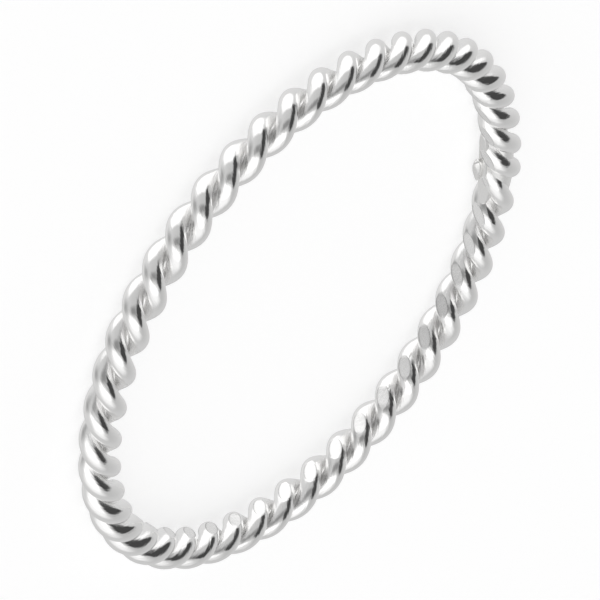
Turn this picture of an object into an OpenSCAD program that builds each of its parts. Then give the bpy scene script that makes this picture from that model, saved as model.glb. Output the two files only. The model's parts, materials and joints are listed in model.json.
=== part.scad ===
// Rope twist ring: two round wires twisted together, bent into a hoop and soldered end to end.
// Millimetres, +Z up. The ring lies on its side on z = 0 with the finger hole's axis on Z.

/* [Finger hole] */
// Inside diameter, across the flats that the bore cutter leaves on the wires
bore_d = 17.25; // [14:0.05:22]
// Depth that the bore cutter takes off the inner side of each turn of wire
bore_cut = 0.08; // [0.03:0.01:0.12]

/* [Twisted wires] */
// Diameter of each of the two wires
wire_d = 0.67; // [0.5:0.01:0.9]
// Clearance left between the two wires
wire_gap = 0.02; // [0.01:0.01:0.04]
// Length of one full turn of the twist, in wire diameters
lay = 3.84; // [3.8:0.02:6]
// How far the hand twist runs ahead and behind of an even one, in degrees of turn
lay_drift = 35; // [0:5:50]

/* [Soldered joint] */
// How far the solder in the grooves stays below the crowns of the wires
solder_low = 0.22; // [0.1:0.02:0.26]
// How far the twist lags where the ends were matched up by eye, in degrees of turn
joint_slip = 30; // [0:2:32]
// How far the joint stands out of the round
joint_rise = 0.06; // [0:0.01:0.08]
// Thickness of the run of solder that fills the grooves low on the inside, beside the joint
run_d = 0.36; // [0.3:0.01:0.44]
// Depth of the middle of the run behind the wall of the bore
run_sunk = 0.09; // [0.06:0.01:0.12]
// How far the middle of the run lies below the middle of the band
run_low = 0.22; // [0.1:0.01:0.26]
// How far round the ring the run reaches from the joint, in degrees
run_reach = 14; // [6:1:30]

/* [Hidden] */

// Rings of points along one lap of a wire, and points in each ring
rings = 270;
sides = 11;
// The joint is at the back of the ring, on -Y
joint_at = 270;
// Turn of the twist at the joint, and where along the ring the drift of the lay begins
joint_turn = 147;
drift_from = 17;
// Middle and reach of the uneven stretch at the joint, as shares of the step between crossings
uneven_middle = 0.3;
uneven_share = 0.45;

wire_r = wire_d/2;
// Distance of each wire's centre from the centre of the twist
wire_offset = wire_r + wire_gap/2;
band_half = wire_offset + wire_r;
band_r = bore_d/2 - bore_cut + band_half;
// The wires cross this many times on one lap, as counted on the outside of the ring
crossings = round(2*2*PI*band_r/(lay*wire_d));
// An odd count brings each wire round to the start of the other: one path of two laps.
// An even count leaves two separate paths of one lap.
laps = crossings % 2 == 1 ? 2 : 1;
paths = 3 - laps;

// Middle and reach of the uneven stretch at the joint, in degrees round the ring
uneven_at = uneven_middle*360/crossings;
uneven_reach = uneven_share*360/crossings;

// Place in the uneven stretch: 0 in its middle, 1 at its reach
function place(u) = ((u + 180) % 360 - 180 - uneven_at)/uneven_reach;
// Share of the unevenness: 1 in the middle, fading to nothing past the reach, and its slope
function uneven(u) = exp(-pow(place(u), 2));
function uneven_rate(u) = -2*place(u)/uneven_reach*uneven(u);
// Turn of the twist, in degrees, u degrees round from the joint
function turn(u) =
    joint_turn + crossings/2*u + lay_drift*sin(u + drift_from) - joint_slip*uneven(u);
// Turn gained for each degree round the ring
function turn_rate(u) =
    crossings/2 + lay_drift*PI/180*cos(u + drift_from) - joint_slip*uneven_rate(u);
// Distance of the twist's centre from the ring's axis
function hoop_r(u) = band_r + joint_rise*uneven(u);

// Directions at u: outwards from the ring's axis, and forwards along the ring
function outwards(u) = [cos(joint_at + u), sin(joint_at + u), 0];
function forwards(u) = [-sin(joint_at + u), cos(joint_at + u), 0];
// Direction from the twist's centre to a wire that has turned by t there
function arm(u, t) = cos(t)*outwards(u) + [0, 0, sin(t)];
// The wire's own direction: round the ring, and round the twist at the same time
function heading(u, t) =
    let (swing = [0, 0, cos(t)] - sin(t)*outwards(u),
         rise = joint_rise*uneven_rate(u)*180/PI*outwards(u),
         run = (hoop_r(u) + wire_offset*cos(t))*forwards(u) + wire_offset*turn_rate(u)*swing + rise)
    run/norm(run);

// One ring of points round a wire, square to its run
function wire_ring(u, t) =
    let (centre = hoop_r(u)*outwards(u) + wire_offset*arm(u, t),
         across = cross(heading(u, t), arm(u, t)))
    [for (j = [0 : sides - 1])
        centre + wire_r*(cos(360*j/sides)*arm(u, t) + sin(360*j/sides)*across)];

// A wire that starts `start` degrees round the twist and closes on itself
module closed_wire(start) {
    count = rings*laps;
    points = [for (i = [0 : count - 1])
        let (u = 360*i/rings)
        each wire_ring(u, turn(u) + start)];
    faces = [for (i = [0 : count - 1], j = [0 : sides - 1])
        let (a = i*sides + j, b = i*sides + (j + 1) % sides,
             c = (a + sides) % (count*sides), d = (b + sides) % (count*sides))
        each [[a, d, b], [a, c, d]]];
    polyhedron(points, faces, convexity = 10);
}

// The bead of solder that closes the joint and fills the grooves on both sides of it
module solder_bead() {
    translate(band_r*outwards(0))
        sphere(r = band_half - solder_low, $fn = 48);
}

// The straight bore through the middle, which flattens the inside of each turn
module bore() {
    translate([0, 0, -2*band_half])
        cylinder(d = bore_d, h = 4*band_half, $fn = 180);
}

// The run of solder beside the joint, which the bore leaves flush with the flats
module solder_run() {
    rotate([0, 0, joint_at])
        rotate_extrude(angle = run_reach, $fn = 96)
            translate([bore_d/2 + run_sunk, -run_low])
                circle(d = run_d, $fn = 24);
}

// The wires and the solder are one piece of silver, bored out once it has been closed
module twisted_band() {
    color("silver")
        translate([0, 0, band_half])
            difference() {
                union() {
                    for (k = [0 : paths - 1])
                        closed_wire(180*k);
                    solder_bead();
                    solder_run();
                }
                bore();
            }
}

twisted_band();
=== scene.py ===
import json

import bpy
import numpy as np
from mathutils import Matrix, Vector


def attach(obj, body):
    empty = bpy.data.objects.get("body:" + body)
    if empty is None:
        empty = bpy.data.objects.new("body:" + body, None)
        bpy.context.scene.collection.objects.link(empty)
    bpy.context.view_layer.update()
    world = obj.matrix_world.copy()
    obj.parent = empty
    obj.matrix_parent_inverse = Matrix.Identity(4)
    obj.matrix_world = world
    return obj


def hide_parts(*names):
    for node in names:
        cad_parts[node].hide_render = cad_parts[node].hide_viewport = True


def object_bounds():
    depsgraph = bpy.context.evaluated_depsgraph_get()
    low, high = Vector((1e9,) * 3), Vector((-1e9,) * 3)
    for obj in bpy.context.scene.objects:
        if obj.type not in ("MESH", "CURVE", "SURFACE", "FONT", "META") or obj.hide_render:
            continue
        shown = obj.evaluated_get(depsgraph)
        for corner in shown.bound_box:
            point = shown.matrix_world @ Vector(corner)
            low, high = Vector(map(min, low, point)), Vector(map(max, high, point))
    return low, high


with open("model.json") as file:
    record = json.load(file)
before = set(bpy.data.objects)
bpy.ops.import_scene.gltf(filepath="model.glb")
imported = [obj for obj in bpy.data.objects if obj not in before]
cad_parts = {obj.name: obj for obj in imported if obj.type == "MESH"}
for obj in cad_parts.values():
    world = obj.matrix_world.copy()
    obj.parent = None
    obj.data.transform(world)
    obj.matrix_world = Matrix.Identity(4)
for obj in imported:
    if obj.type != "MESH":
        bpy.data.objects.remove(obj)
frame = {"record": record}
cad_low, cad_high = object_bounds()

# The camera
# The ring lies on its side, and the camera looks down at it across the hoop with a long lens.
# It is rolled, so that the hoop stands on end in the picture as a slim oval.
VIEW_TURN = np.radians(43.0)
VIEW_HEIGHT = np.radians(27.18)
VIEW_ROLL = np.radians(125.44)
VIEW_DISTANCE = 0.3707
LENS_MM, SENSOR_MM = 701.2, 36.0
# Side of the picture, and where the middle of the ring stands in it
PICTURE_PX = 600
RING_PX = (302.27, 301.05)
UP = np.array([0.0, 0.0, 1.0])


def camera_directions():
    """Back, right and up of the camera: back is at VIEW_TURN and VIEW_HEIGHT on the sphere.
    Right and up start as the level direction square to it and the one square to both, and are
    turned about it by VIEW_ROLL."""
    level = np.array([np.cos(VIEW_TURN), np.sin(VIEW_TURN), 0.0])
    aside = np.array([-np.sin(VIEW_TURN), np.cos(VIEW_TURN), 0.0])
    back = np.cos(VIEW_HEIGHT)*level + np.sin(VIEW_HEIGHT)*UP
    upright = np.cos(VIEW_HEIGHT)*UP - np.sin(VIEW_HEIGHT)*level
    right = np.cos(VIEW_ROLL)*aside + np.sin(VIEW_ROLL)*upright
    up = np.cos(VIEW_ROLL)*upright - np.sin(VIEW_ROLL)*aside
    return back, right, up


def new_object(name, data):
    """An object that holds the data, linked into the scene."""
    made = bpy.data.objects.new(name, data)
    bpy.context.scene.collection.objects.link(made)
    return made


view_back, view_right, view_up = camera_directions()
ring_middle = (cad_low.z + cad_high.z)/2*UP
pixel = VIEW_DISTANCE*SENSOR_MM/LENS_MM/PICTURE_PX
aim = (ring_middle - (RING_PX[0] - PICTURE_PX/2)*pixel*view_right
       + (RING_PX[1] - PICTURE_PX/2)*pixel*view_up)
camera = new_object("camera", bpy.data.cameras.new("camera"))
camera.data.lens = LENS_MM
camera.data.sensor_width = SENSOR_MM
camera_matrix = Matrix(np.column_stack([view_right, view_up, view_back]).tolist()).to_4x4()
camera_matrix.translation = Vector(aim + VIEW_DISTANCE*view_back)
camera.matrix_world = camera_matrix
bpy.context.scene.camera = camera

# The studio
# A pale light tent, with one large soft panel above the camera's line and one below it, a dark
# panel to the right, and dimmer shapes where its seam, its back and the camera are. They stay in
# place in the room, and the polished wire shows them as highlights and dark patches.

# Each row: name, bearing round the camera's line, angle from that line, turn in its own plane,
# half width, half height and softness, all in degrees, and brightness. Later rows lie on top.
PANELS = (
    ("panel_above", 95.9, 84.0, 0.0, 43.0, 32.0, 13.0, 1.13),
    ("glow_below", -104.5, 54.0, 0.0, 42.0, 34.0, 34.0, 0.97),
    ("panel_below", -102.0, 38.0, 0.0, 40.0, 19.0, 7.0, 1.12),
    ("tent_seam", 173.1, 78.9, 0.0, 11.6, 21.0, 24.0, 0.34),
    ("tent_back", -110.0, 148.0, 0.0, 38.0, 30.0, 30.0, 0.6),
    ("camera_shape", 26.6, 8.9, 22.0, 10.5, 30.0, 12.0, 0.27),
    ("dark_panel", 11.7, 69.0, -54.0, 22.0, 37.0, 4.0, 0.058),
)
# Power of the rounded outline of a panel: 2 is an ellipse, and more is squarer
SQUARENESS = 4.0
# Brightness of the tent itself, and what it gains towards the camera's right, up and back
TENT_LIGHT = 0.61
TENT_SLOPE = (-0.064, 0.063, -0.081)
WHITE = (1, 1, 1, 1)


def operation_node(tree, kind, operation, values):
    """One node of the kind and operation, whose inputs are sockets or plain values."""
    node = tree.nodes.new(kind)
    node.operation = operation
    for place, value in enumerate(values):
        if isinstance(value, bpy.types.NodeSocket):
            tree.links.new(value, node.inputs[place])
        else:
            node.inputs[place].default_value = value
    return node


def maths(tree, operation, *values):
    """Result of one step of arithmetic, on sockets or plain numbers."""
    return operation_node(tree, "ShaderNodeMath", operation, values).outputs[0]


def dot_product(tree, a, b):
    """Dot product of two vectors, each a socket or plain numbers."""
    return operation_node(tree, "ShaderNodeVectorMath", "DOT_PRODUCT", (a, b)).outputs["Value"]


def fill_in(node, values):
    """Sets inputs of the node to plain values, by name."""
    for name, value in values.items():
        node.inputs[name].default_value = value


def new_group(name, inputs, outputs):
    """A node group with sockets of the given names and kinds. Returns it with the sockets that
    its own nodes read from and write to."""
    group = bpy.data.node_groups.new(name, "ShaderNodeTree")
    for way, sockets in (("INPUT", inputs), ("OUTPUT", outputs)):
        for socket, kind in sockets.items():
            group.interface.new_socket(socket, in_out=way, socket_type="NodeSocket" + kind)
    given = group.nodes.new("NodeGroupInput").outputs
    return group, given, group.nodes.new("NodeGroupOutput").inputs


def soft_panel_group():
    """A patch on the sphere of directions. With x and y the angles of a direction across and
    along the panel, each over its half size, and n the squareness, the distance is
    (x^n + y^n)^(1/n). The mask falls smoothly from 1 to 0 where the distance passes 1."""
    group, given, made = new_group(
        "soft_panel",
        {"Direction": "Vector", "Middle": "Vector", "Across": "Vector", "Along": "Vector",
         "Half Width": "Float", "Half Height": "Float", "Softness": "Float"},
        {"Mask": "Float"})
    middle, across, along = (dot_product(group, given["Direction"], given[name])
                             for name in ("Middle", "Across", "Along"))
    x = maths(group, "DIVIDE", maths(group, "ARCSINE", across), given["Half Width"])
    y = maths(group, "DIVIDE", maths(group, "ARCTAN2", along, middle), given["Half Height"])
    powers = [maths(group, "POWER", maths(group, "ABSOLUTE", v), SQUARENESS) for v in (x, y)]
    distance = maths(group, "POWER", maths(group, "ADD", *powers), 1/SQUARENESS)
    half_soft = maths(group, "MULTIPLY", given["Softness"], 0.5)
    fall = group.nodes.new("ShaderNodeMapRange")
    fall.interpolation_type = "SMOOTHSTEP"
    group.links.new(distance, fall.inputs["Value"])
    group.links.new(maths(group, "ADD", 1.0, half_soft), fall.inputs["From Min"])
    group.links.new(maths(group, "SUBTRACT", 1.0, half_soft), fall.inputs["From Max"])
    group.links.new(fall.outputs["Result"], made["Mask"])
    return group


def panel_directions(bearing, angle, turn):
    """Middle, across and along of a panel: the middle leans by angle from the camera's back
    direction towards bearing, across is square to both, and along points away from the camera.
    The last two are then turned about the middle."""
    b, a, t = np.radians((bearing, angle, turn))
    towards = np.cos(b)*view_right + np.sin(b)*view_up
    across = np.cos(b)*view_up - np.sin(b)*view_right
    middle = np.sin(a)*towards + np.cos(a)*view_back
    along = np.cos(a)*towards - np.sin(a)*view_back
    return middle, np.cos(t)*across + np.sin(t)*along, np.cos(t)*along - np.sin(t)*across


def light_the_studio():
    """Brightness by direction: a pale tent with a slight slope, and the panels mixed over it."""
    world = bpy.data.worlds.new("light_tent")
    bpy.context.scene.world = world
    world.use_nodes = True
    tree = world.node_tree
    tree.nodes.clear()
    direction = tree.nodes.new("ShaderNodeTexCoord").outputs["Generated"]
    slope = sum(gain*way for gain, way in zip(TENT_SLOPE, (view_right, view_up, view_back)))
    light = maths(tree, "ADD", TENT_LIGHT, dot_product(tree, direction, slope))
    group = soft_panel_group()
    for name, bearing, angle, turn, wide, tall, soft, bright in PANELS:
        panel = tree.nodes.new("ShaderNodeGroup")
        panel.node_tree = group
        panel.name = name
        tree.links.new(direction, panel.inputs["Direction"])
        middle, across, along = panel_directions(bearing, angle, turn)
        fill_in(panel, {"Middle": middle, "Across": across, "Along": along,
                        "Half Width": np.radians(wide), "Half Height": np.radians(tall),
                        "Softness": soft/min(wide, tall)})
        mix = tree.nodes.new("ShaderNodeMix")
        tree.links.new(panel.outputs["Mask"], mix.inputs["Factor"])
        tree.links.new(light, mix.inputs["A"])
        mix.inputs["B"].default_value = bright
        light = mix.outputs["Result"]
    background = tree.nodes.new("ShaderNodeBackground")
    background.inputs["Color"].default_value = WHITE
    tree.links.new(light, background.inputs["Strength"])
    output = tree.nodes.new("ShaderNodeOutputWorld")
    tree.links.new(background.outputs[0], output.inputs["Surface"])


light_the_studio()
bpy.context.scene.view_settings.view_transform = "Standard"

# The floor and the lamp over it
# A plain white sheet that the ring lies on, lit through from below as a light table is, and a
# large soft lamp high above it. They keep the sheet white and leave the ring a faint shadow.
# Neither is seen in the metal.
SHEET_R, SHEET_SIDES = 3.0, 64
SHEET_WHITE, SHEET_GLOW = 0.6, 0.6
SHEET_ROUGH, SHEET_SHINE = 0.8, 0.1
LAMP_SIZE, LAMP_POWER = 1.0, 0.8
LAMP_HEIGHT, LAMP_ASIDE = 0.8, 0.25

edge = 2*np.pi*np.arange(SHEET_SIDES)/SHEET_SIDES
sheet_corners = SHEET_R*np.column_stack([np.cos(edge), np.sin(edge), 0*edge])
sheet_mesh = bpy.data.meshes.new("floor")
sheet_mesh.from_pydata(sheet_corners.tolist(), [], [list(range(SHEET_SIDES))])
sheet = new_object("floor", sheet_mesh)
sheet_white = bpy.data.materials.new("floor_white")
sheet_white.use_nodes = True
fill_in(sheet_white.node_tree.nodes["Principled BSDF"],
        {"Base Color": (SHEET_WHITE,)*3 + (1,), "Roughness": SHEET_ROUGH,
         "Specular IOR Level": SHEET_SHINE, "Emission Color": WHITE,
         "Emission Strength": SHEET_GLOW})
sheet_mesh.materials.append(sheet_white)
sheet.visible_glossy = False

lamp = new_object("lamp", bpy.data.lights.new("lamp", "AREA"))
lamp.data.shape = "DISK"
lamp.data.size = LAMP_SIZE
lamp.data.energy = LAMP_POWER
lamp.location = Vector(LAMP_ASIDE*(view_up - view_up[2]*UP) + LAMP_HEIGHT*UP)
lamp.rotation_mode = "QUATERNION"
lamp.rotation_quaternion = lamp.location.to_track_quat("Z", "Y")
lamp.visible_glossy = False
lamp.visible_camera = False

# The twisted wires
# Two round silver wires twisted by hand, bent into a hoop and soldered end to end. They cross an
# odd number of times, so that each runs on into the other as one wire of two laps. The hoop was
# then bored straight through, which left a flat on the inner side of each turn.

# Sizes are in millimetres here, and turns in degrees. The bore and half the thickness of the
# band come from the frame.
MM = 0.001
BORE_R = frame["record"]["mounts"][0]["dims"]["r_mm"]
HALF = (cad_high.z - cad_low.z)/2/MM
# Gap between the wires, radius of each, and distance of its centre from that of the twist
GAP = 0.02
WIRE_R = (HALF - GAP/2)/2
OFFSET = HALF - WIRE_R
# Depth that the bore takes off the wires, and radius of the hoop to the centre of the twist
BORE_CUT = 0.08
BAND_R = BORE_R - BORE_CUT + HALF
# Crossings in one lap, the step from one to the next, and laps of the wire
CROSSINGS = 45
STEP = 360/CROSSINGS
LAPS = 2
# Where the joint is round the ring, and the turn of the twist there
JOINT_AT, JOINT_TURN = 270.0, 147.0
# How far the hand twist runs ahead and behind, and where that drift begins
DRIFT, DRIFT_FROM = 35.0, 17.0
# Lag of the twist at the joint, how far the joint stands out of the round, and the middle and
# reach of that uneven stretch
JOINT_SLIP, JOINT_RISE = 30.0, 0.06
UNEVEN_AT, UNEVEN_REACH = 0.3*STEP, 0.45*STEP
# Rings of points along the wire, points in each, and how many of its sides lie on the flat
RINGS, SIDES, FLAT_SIDES = 1800, 50, 14
# Least angle from the middle of a flat to its edge, and how often the edge's angle is halved in
LEAST_FLAT = np.radians(4.0)
HALVINGS = 30
# How closely the painted shade at the rim of a flat keeps to its edges
RIM_POWER = 8
# What the metal is finished in, by the number of the material slot
FINISHES = ("polished_silver", "satin_flats", "solder")


def unevenness(u):
    """1 in the middle of the uneven stretch at the joint, falling as exp(-x^2) with the
    distance x from it, counted in reaches."""
    from_joint = (u + 180) % 360 - 180
    return np.exp(-((from_joint - UNEVEN_AT)/UNEVEN_REACH)**2)


def twist(u):
    """Turn of the twist at u degrees from the joint, in radians: even along the hoop, with a
    slow drift as the sine of u, and a short lag at the joint."""
    drift = DRIFT*np.sin(np.radians(u + DRIFT_FROM))
    return np.radians(JOINT_TURN + CROSSINGS/2*u + drift - JOINT_SLIP*unevenness(u))


def hoop_radius(u):
    """Distance of the centre of the twist from the ring's axis, a little more at the joint."""
    return BAND_R + JOINT_RISE*unevenness(u)


def outwards(u):
    """Unit vector from the ring's axis, level, at u degrees from the joint."""
    a = np.radians(JOINT_AT + u)
    return np.stack([np.cos(a), np.sin(a), 0*a], -1)


def on_hoop(u, radius, height):
    """Points at u degrees from the joint, by distance from the ring's axis and height."""
    return radius[..., None]*outwards(u) + height[..., None]*UP


def wire_middle(u):
    """Centre line of the wire: a circle of the hoop's radius, plus an arm that the twist swings
    round it, from outwards to upwards and on."""
    t = twist(u)
    return on_hoop(u, hoop_radius(u) + OFFSET*np.cos(t), HALF + OFFSET*np.sin(t))


def wire_surface():
    """A circle carried along the wire's centre line, by place on the line and angle round it
    from the inner side. Points inside the bore move straight out onto its wall, and two columns
    of points follow the flat's two edges, so that each flat has a clean outline."""
    u = 360*LAPS*np.arange(RINGS)/RINGS
    middle = wire_middle(u)
    run = np.roll(middle, -1, 0) - np.roll(middle, 1, 0)
    run /= np.linalg.norm(run, axis=1, keepdims=True)
    inner = -outwards(u)
    inner -= np.sum(inner*run, 1, keepdims=True)*run
    inner /= np.linalg.norm(inner, axis=1, keepdims=True)
    beside = np.cross(run, inner)

    def on_circle(angle):
        """Points on the wire's circle at each place, by angle from the inner side."""
        arm = np.cos(angle)[..., None]*inner[:, None] + np.sin(angle)[..., None]*beside[:, None]
        return middle[:, None] + WIRE_R*arm

    def flat_edge(side):
        """Angle at which the circle leaves the bore, halved in on from 0 and a right angle."""
        low, high = np.zeros((RINGS, 1)), np.full((RINGS, 1), np.pi/2)
        for _ in range(HALVINGS):
            mid = (low + high)/2
            inside = np.linalg.norm(on_circle(side*mid)[..., :2], axis=-1) < BORE_R
            low, high = np.where(inside, mid, low), np.where(inside, high, mid)
        return np.maximum(low, LEAST_FLAT)

    left, right = flat_edge(-1), flat_edge(1)
    across = np.linspace(-1, 1, FLAT_SIDES + 1)[None, :]
    flat = np.where(across < 0, across*left, across*right)
    share = np.arange(1, SIDES - FLAT_SIDES)[None, :]/(SIDES - FLAT_SIDES)
    rest = right + share*(2*np.pi - left - right)
    surface = on_circle(np.concatenate([flat, rest], 1))
    radius = np.linalg.norm(surface[..., :2], axis=-1)
    surface[..., :2] *= np.maximum(1, BORE_R/radius)[..., None]
    return surface


def ring_faces(rows, columns):
    """Four-sided faces of a grid that closes on itself both ways."""
    i, j = np.meshgrid(np.arange(rows), np.arange(columns), indexing="ij")
    ahead, over = (i + 1) % rows, (j + 1) % columns
    corners = [i*columns + j, ahead*columns + j, ahead*columns + over, i*columns + over]
    return np.stack(corners, -1).reshape(-1, 4).tolist()


def new_piece(name, surface, faces, finish=0):
    """An object at the origin whose mesh holds the points and faces, all of one finish."""
    made = bpy.data.meshes.new(name)
    made.from_pydata(surface.reshape(-1, 3).tolist(), [], faces)
    made.validate()
    for _ in FINISHES:
        made.materials.append(None)
    made.polygons.foreach_set("material_index", np.full(len(made.polygons), finish, np.int32))
    return new_object(name, made)


def read(items, field, kind, width=1):
    """One field of all the items of a mesh as an array, in rows where width is over 1."""
    values = np.zeros(width*len(items), kind)
    items.foreach_get(field, values)
    return values if width == 1 else values.reshape(-1, width)


def store(mesh, name, values):
    """A named attribute on the points of the mesh, of one number or of three for each."""
    kind, field = ("FLOAT", "value") if values.ndim == 1 else ("FLOAT_VECTOR", "vector")
    attribute = mesh.attributes.new(name, kind, "POINT")
    attribute.data.foreach_set(field, values.astype(np.float32).ravel())


def signed_volume(mesh):
    """Volume inside a closed mesh, negative if its faces point inwards: the sum over its
    triangles of the product of their corners, over six."""
    mesh.calc_loop_triangles()
    corners = read(mesh.loop_triangles, "vertices", np.int32, 3)
    places = read(mesh.vertices, "co", np.float32, 3).astype(float)
    a, b, c = places[corners].transpose(1, 0, 2)
    return float(np.sum(a*np.cross(b, c)))/6


def face_outwards(piece):
    """Turns the faces of a closed mesh outwards if they point in."""
    if signed_volume(piece.data) < 0:
        piece.data.flip_normals()


wires = new_piece("twisted_wires", wire_surface(), ring_faces(RINGS, SIDES))
face_outwards(wires)

# The rim of each flat, 1 at its two edges and 0 inside, for the line of painted shade round it
rim_shade_mask = np.zeros((RINGS, SIDES))
rim_shade_mask[:, :FLAT_SIDES + 1] = np.linspace(-1, 1, FLAT_SIDES + 1)**RIM_POWER
store(wires.data, "rim_shade_mask", rim_shade_mask.ravel())

# The solder
# Silver solder: a thin core of it between the wires all round, a lump that fills the grooves at
# the joint and past it, a run of it low on the inside, flush with the flats, and a small burr
# pushed up there. It is melted into the wires, so that wires and solder are one body.

# The core's radius, and its rings of points and points in each
CORE_R, CORE_ROWS, CORE_COLUMNS = 0.13, 720, 16
# The lump's middle past the joint, how far it stays below the crowns, and half its length
LUMP_AT, LUMP_LOW, LUMP_LONG = 3.6, 0.22, 1.8
LUMP_ROWS, LUMP_COLUMNS = 24, 40
# Where the run begins and ends, its radius, how far its middle lies behind the wall and below
# the middle of the band, and how much further out than the flats the bore has cut it
RUN_FROM, RUN_TO = -4.2, 16.0
RUN_R, RUN_SUNK, RUN_LOW, RUN_BELOW_FLAT = 0.18, 0.09, 0.22, 0.004
# How far past the joint the run is wide, and how much wider and higher it is there
RUN_WIDE_BEFORE, RUN_WIDER, RUN_HIGHER = 1.5, 0.09, 0.2
RUN_ROWS, RUN_COLUMNS = 120, 28
# The burr's middle past the joint, how far it lies in front of the wall and below the middle of
# the band, its half sizes outwards, forwards and upwards, and how many times longer its tail is
BURR_AT, BURR_PROUD, BURR_LOW = 5.4, 0.045, 0.35
BURR_SIZE, BURR_TAIL = (0.15, 0.30, 0.17), 1.9
# How far the sine waves on the lump and the burr raise and lower them, as shares of their size,
# and the share that the second wave has of the first
LUMP_RIPPLE, BURR_RIPPLE, SECOND_RIPPLE = 0.03, 0.08, 0.6


def lump_surface(u, radius, height, size, ripple, tail=1):
    """An ellipsoid at u degrees from the joint, by latitude and longitude, with half sizes
    outwards, forwards and upwards, and tail times as long backwards. Two sine waves, of 3 and 5
    to a turn, slant across it and fade to the poles as the square of the latitude's cosine."""
    latitude = np.linspace(-np.pi/2, np.pi/2, LUMP_ROWS + 1)[1:-1, None]
    longitude = 2*np.pi*np.arange(LUMP_COLUMNS)[None, :]/LUMP_COLUMNS
    fade = ripple*np.cos(latitude)**2
    wave = 1 + fade*np.sin(3*longitude + 2*latitude)
    wave = wave + fade*SECOND_RIPPLE*np.sin(5*longitude - 4*latitude)
    out = outwards(np.array(u))
    forward = np.array([-out[1], out[0], 0.0])
    x = size[0]*np.cos(latitude)*np.cos(longitude)*wave
    y = size[1]*np.cos(latitude)*np.sin(longitude)*wave
    y = np.where(y < 0, tail*y, y)
    z = size[2]*np.sin(latitude)*wave
    middle = radius*out + height*UP
    body = middle + x[..., None]*out + y[..., None]*forward + z[..., None]*UP
    poles = middle + np.outer([-size[2], size[2]], UP)
    return np.concatenate([body.reshape(-1, 3), poles])


def capped_faces(rows, columns):
    """Faces of a grid that closes one way, with a fan to a pole at each end. The two poles are
    the last points."""
    i, j = np.meshgrid(np.arange(rows - 1), np.arange(columns), indexing="ij")
    near, far, over = i*columns, (i + 1)*columns, (j + 1) % columns
    sides = np.stack([near + j, near + over, far + over, far + j], -1).reshape(-1, 4)
    k = np.arange(columns)
    k_over = (k + 1) % columns
    last_row, first_pole = (rows - 1)*columns, rows*columns
    start = np.stack([k_over, k, 0*k + first_pole], -1)
    end = np.stack([last_row + k, last_row + k_over, 0*k + first_pole + 1], -1)
    return sides.tolist() + start.tolist() + end.tolist()


def core_surface():
    """A thin circle carried round the centre of the twist."""
    u = 360*np.arange(CORE_ROWS)[:, None]/CORE_ROWS
    angle = 2*np.pi*np.arange(CORE_COLUMNS)[None, :]/CORE_COLUMNS
    height = HALF + CORE_R*np.sin(angle)
    return on_hoop(u, hoop_radius(u) + CORE_R*np.cos(angle), height)


def run_surface():
    """A circle carried along the inside of the hoop, below its middle and a little behind the
    bore's wall. It is wider and higher at its start, by a share of 1/(1 + exp(u - u0)). With x
    from -1 to 1 along the run, it narrows to both ends as the root of 1 - x^4, and the bore has
    cut it off a hair further out than the flats."""
    share = (np.arange(RUN_ROWS)[:, None] + 0.5)/RUN_ROWS
    u = RUN_FROM + (RUN_TO - RUN_FROM)*share
    wide = 1/(1 + np.exp(u - RUN_WIDE_BEFORE))
    size = (RUN_R + RUN_WIDER*wide)*np.sqrt(1 - (2*share - 1)**4)
    middle_height = HALF - RUN_LOW + RUN_HIGHER*wide
    middle_radius = BORE_R + RUN_SUNK
    angle = 2*np.pi*np.arange(RUN_COLUMNS)[None, :]/RUN_COLUMNS
    radius = np.maximum(middle_radius + size*np.cos(angle), BORE_R + RUN_BELOW_FLAT)
    body = on_hoop(u, radius, middle_height + size*np.sin(angle))
    ends = on_hoop(u[[0, -1]], np.full((2, 1), middle_radius), middle_height[[0, -1]])
    return np.concatenate([body.reshape(-1, 3), ends.reshape(-1, 3)])


def melt_in(piece, added):
    """Joins a closed piece into another as one solid, and takes the added object away. Each
    face keeps the number of its finish."""
    face_outwards(added)
    union = piece.modifiers.new("melted", "BOOLEAN")
    union.operation = "UNION"
    union.solver = "MANIFOLD"
    union.object = added
    seen = bpy.context.evaluated_depsgraph_get()
    done = bpy.data.meshes.new_from_object(piece.evaluated_get(seen))
    piece.modifiers.clear()
    piece.data = done
    bpy.data.objects.remove(added)


SOLDER = FINISHES.index("solder")
lump_size = (HALF - LUMP_LOW, LUMP_LONG, HALF - LUMP_LOW)
lump = lump_surface(LUMP_AT, BAND_R, HALF, lump_size, LUMP_RIPPLE)
burr = lump_surface(BURR_AT, BORE_R - BURR_PROUD, HALF - BURR_LOW, BURR_SIZE, BURR_RIPPLE,
                    BURR_TAIL)
lump_faces = capped_faces(LUMP_ROWS - 1, LUMP_COLUMNS)
core_faces = ring_faces(CORE_ROWS, CORE_COLUMNS)
run_faces = capped_faces(RUN_ROWS, RUN_COLUMNS)
for name, surface, faces in (("solder_core", core_surface(), core_faces),
                             ("joint_lump", lump, lump_faces),
                             ("solder_run", run_surface(), run_faces),
                             ("burr", burr, lump_faces)):
    melt_in(wires, new_piece(name, surface, faces, SOLDER))

# The finishes
# The wires are drawn, and buffed to a mirror where the buff reaches: down in the grooves the
# fine lines along the wire are left. The flats keep the satin of the cutter, with marks a little
# longer round the bore, and painted shade at their rim. The solder is duller, and has fine pits.
SILVER = (0.972, 0.968, 0.962)
SOLDER_SILVER = (0.93, 0.925, 0.915)
# Each row: name, colour, attribute that lays out the marks, or None for the object's own
# coordinates, stretch and scale of the marks, roughness, how far it varies, and the depth of the
# marks in metres. The rows are in the order of the material slots.
FINISH_ROWS = (
    ("polished_silver", SILVER, "on_wire", (0.5, 3.5, 3.5), 2.4, 0.04, 0.05, 4.0e-5),
    ("satin_flats", SILVER, None, (1, 1, 2), 5000, 0.27, 0.2, 8.0e-6),
    ("solder", SOLDER_SILVER, None, (1, 1, 2), 6000, 0.22, 0.2, 7.0e-6),
)
MARKS_DETAIL, MARKS_ROUGHNESS = 4.0, 0.6
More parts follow.
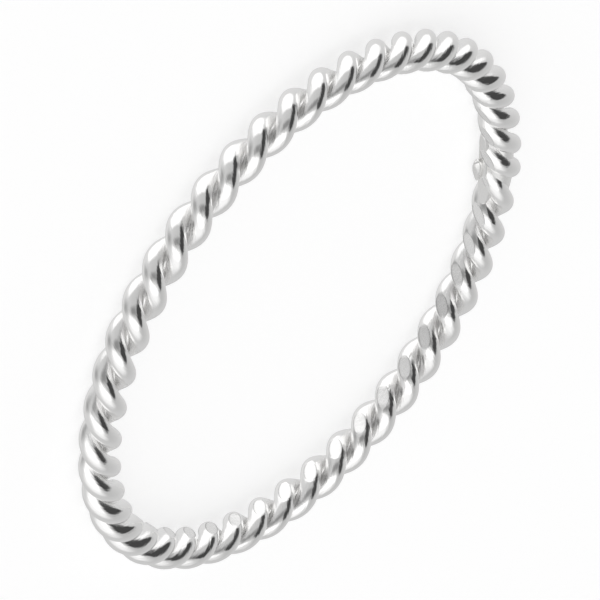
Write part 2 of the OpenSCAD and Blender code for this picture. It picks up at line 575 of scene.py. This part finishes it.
# Half width of a groove, how much rougher the silver is down in it, and the share of the depth
# of the marks that the buff leaves on the crowns
GROOVE_WIDTH, GROOVE_ROUGHER, CROWN_MARKS = 0.19, 0.3, 0.22
# Share of the silver's colour that is left at the rim of a flat, where shade is painted in
RIM_PAINTED_SHADE = 0.35
# How near the bore's wall a point lies on it, over what length crowns are eased back into the
# frame's box, and the angle past which an edge is sharp
ON_WALL = 0.0015
EASE = 0.03
CREASE = np.radians(24)


def place_in_twist(points):
    """Two things for each point. How near it is to the middle of the groove between the wires,
    as exp(-(a/w)^2), where a is its distance along the line through both wires' centres. And
    its place on its wire, in millimetres: the way along the wire from one of its two passes of
    the joint, counted up both ways so that it has no seam, then the cosine and the sine of its
    angle round the wire's centre, times the wire's radius."""
    u = (np.degrees(np.arctan2(points[:, 1], points[:, 0])) - JOINT_AT) % 360
    away = np.linalg.norm(points[:, :2], axis=1) - hoop_radius(u)
    above = points[:, 2] - HALF
    t = twist(u)
    a = away*np.cos(t) + above*np.sin(t)
    b = above*np.cos(t) - away*np.sin(t)
    angle = np.arctan2(np.sign(a)*b, np.abs(a) - OFFSET)
    along = np.radians(np.where(a < 0, u, 360 - u))*BAND_R
    place = np.stack([along, WIRE_R*np.cos(angle), WIRE_R*np.sin(angle)], -1)
    return np.exp(-(a/GROOVE_WIDTH)**2), place


mesh = wires.data
points = read(mesh.vertices, "co", np.float32, 3).astype(float)
in_groove, place_on_wire = place_in_twist(points)
store(mesh, "groove", in_groove)
store(mesh, "on_wire", place_on_wire)

# A face is a flat where all its corners lie on the bore's wall, unless it is solder
on_wall = np.abs(np.linalg.norm(points[:, :2], axis=1) - BORE_R) < ON_WALL
corner_on_wall = on_wall[read(mesh.loops, "vertex_index", np.int32)].astype(int)
first_corner = read(mesh.polygons, "loop_start", np.int32)
is_flat = np.minimum.reduceat(corner_on_wall, first_corner) == 1
finish = read(mesh.polygons, "material_index", np.int32)
finish[is_flat & (finish != SOLDER)] = FINISHES.index("satin_flats")
mesh.polygons.foreach_set("material_index", finish)


def fine_marks_group():
    """Fine marks in the metal: a stretched noise gives a height, and the same noise moves the
    roughness up and down about its base."""
    group, given, made = new_group(
        "fine_marks",
        {"Vector": "Vector", "Scale": "Float", "Base Roughness": "Float",
         "Roughness Spread": "Float"},
        {"Roughness": "Float", "Height": "Float"})
    noise = group.nodes.new("ShaderNodeTexNoise")
    fill_in(noise, {"Detail": MARKS_DETAIL, "Roughness": MARKS_ROUGHNESS})
    group.links.new(given["Vector"], noise.inputs["Vector"])
    group.links.new(given["Scale"], noise.inputs["Scale"])
    centred = maths(group, "SUBTRACT", noise.outputs["Fac"], 0.5)
    spread = maths(group, "MULTIPLY", centred, given["Roughness Spread"])
    group.links.new(maths(group, "ADD", spread, given["Base Roughness"]), made["Roughness"])
    group.links.new(noise.outputs["Fac"], made["Height"])
    return group


fine_marks = fine_marks_group()


def silver_finish(name, colour, place, stretch, scale, base, spread, depth):
    """Silver with fine marks, laid out on the named attribute, or on the object's own
    coordinates if there is none."""
    material = bpy.data.materials.new(name)
    material.use_nodes = True
    tree = material.node_tree
    shader = tree.nodes["Principled BSDF"]
    fill_in(shader, {"Metallic": 1.0, "Base Color": colour + (1,)})
    if place:
        source = tree.nodes.new("ShaderNodeAttribute")
        source.attribute_name = place
        layout = source.outputs["Vector"]
    else:
        layout = tree.nodes.new("ShaderNodeTexCoord").outputs["Object"]
    mapping = tree.nodes.new("ShaderNodeMapping")
    mapping.inputs["Scale"].default_value = stretch
    tree.links.new(layout, mapping.inputs["Vector"])
    marks = tree.nodes.new("ShaderNodeGroup")
    marks.name = "marks"
    marks.node_tree = fine_marks
    fill_in(marks, {"Scale": scale, "Base Roughness": base, "Roughness Spread": spread})
    tree.links.new(mapping.outputs["Vector"], marks.inputs["Vector"])
    tree.links.new(marks.outputs["Roughness"], shader.inputs["Roughness"])
    bump = tree.nodes.new("ShaderNodeBump")
    bump.name = "bump"
    bump.inputs["Distance"].default_value = depth
    tree.links.new(marks.outputs["Height"], bump.inputs["Height"])
    tree.links.new(bump.outputs["Normal"], shader.inputs["Normal"])
    return material


def mask_of(tree, name):
    """Socket that reads one of the masks on the mesh."""
    mask = tree.nodes.new("ShaderNodeAttribute")
    mask.attribute_name = name
    return mask.outputs["Fac"]


def dull_in_grooves(material):
    """Down in the grooves the silver is rougher, and its marks are at full depth. On the crowns
    the buff has left a share of it."""
    tree = material.node_tree
    mask = mask_of(tree, "groove")
    marks = tree.nodes["marks"].outputs
    duller = maths(tree, "MULTIPLY", mask, GROOVE_ROUGHER)
    roughness = maths(tree, "ADD", marks["Roughness"], duller)
    tree.links.new(roughness, tree.nodes["Principled BSDF"].inputs["Roughness"])
    share = maths(tree, "ADD", maths(tree, "MULTIPLY", mask, 1 - CROWN_MARKS), CROWN_MARKS)
    height = maths(tree, "MULTIPLY", marks["Height"], share)
    tree.links.new(height, tree.nodes["bump"].inputs["Height"])


def paint_rim_shade(material):
    """At the rim of each flat the silver's colour is painted darker, as shade."""
    tree = material.node_tree
    # Painted shade: the base colour darkens towards the two edges of each flat
    painted_shade = tree.nodes.new("ShaderNodeMix")
    painted_shade.data_type = "RGBA"
    tree.links.new(mask_of(tree, "rim_shade_mask"), painted_shade.inputs["Factor"])
    fill_in(painted_shade, {"A": SILVER + (1,), "B": tuple(RIM_PAINTED_SHADE*c for c in SILVER) + (1,)})
    tree.links.new(painted_shade.outputs["Result"], tree.nodes["Principled BSDF"].inputs["Base Color"])


def eased(x, limit):
    """Numbers that end short of the limit: what lies d past limit - EASE is moved to
    EASE (1 - exp(-d/EASE)) past it."""
    past = np.maximum(x - (limit - EASE), 0)
    return x - past + EASE*(1 - np.exp(-past/EASE))


polished, satin, solder = (silver_finish(*row) for row in FINISH_ROWS)
dull_in_grooves(polished)
# Painted shade along the edges of the flats
paint_rim_shade(satin)
for slot, material in enumerate((polished, satin, solder)):
    mesh.materials[slot] = material

for axis in (0, 1):
    points[:, axis] = eased(points[:, axis], cad_high[axis]/MM)
    points[:, axis] = -eased(-points[:, axis], -cad_low[axis]/MM)
points *= MM
mesh.vertices.foreach_set("co", points.astype(np.float32).ravel())
mesh.update()
mesh.polygons.foreach_set("use_smooth", np.ones(len(mesh.polygons), bool))
mesh.set_sharp_from_angle(angle=CREASE)

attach(wires, "root")
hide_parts("twisted_band")
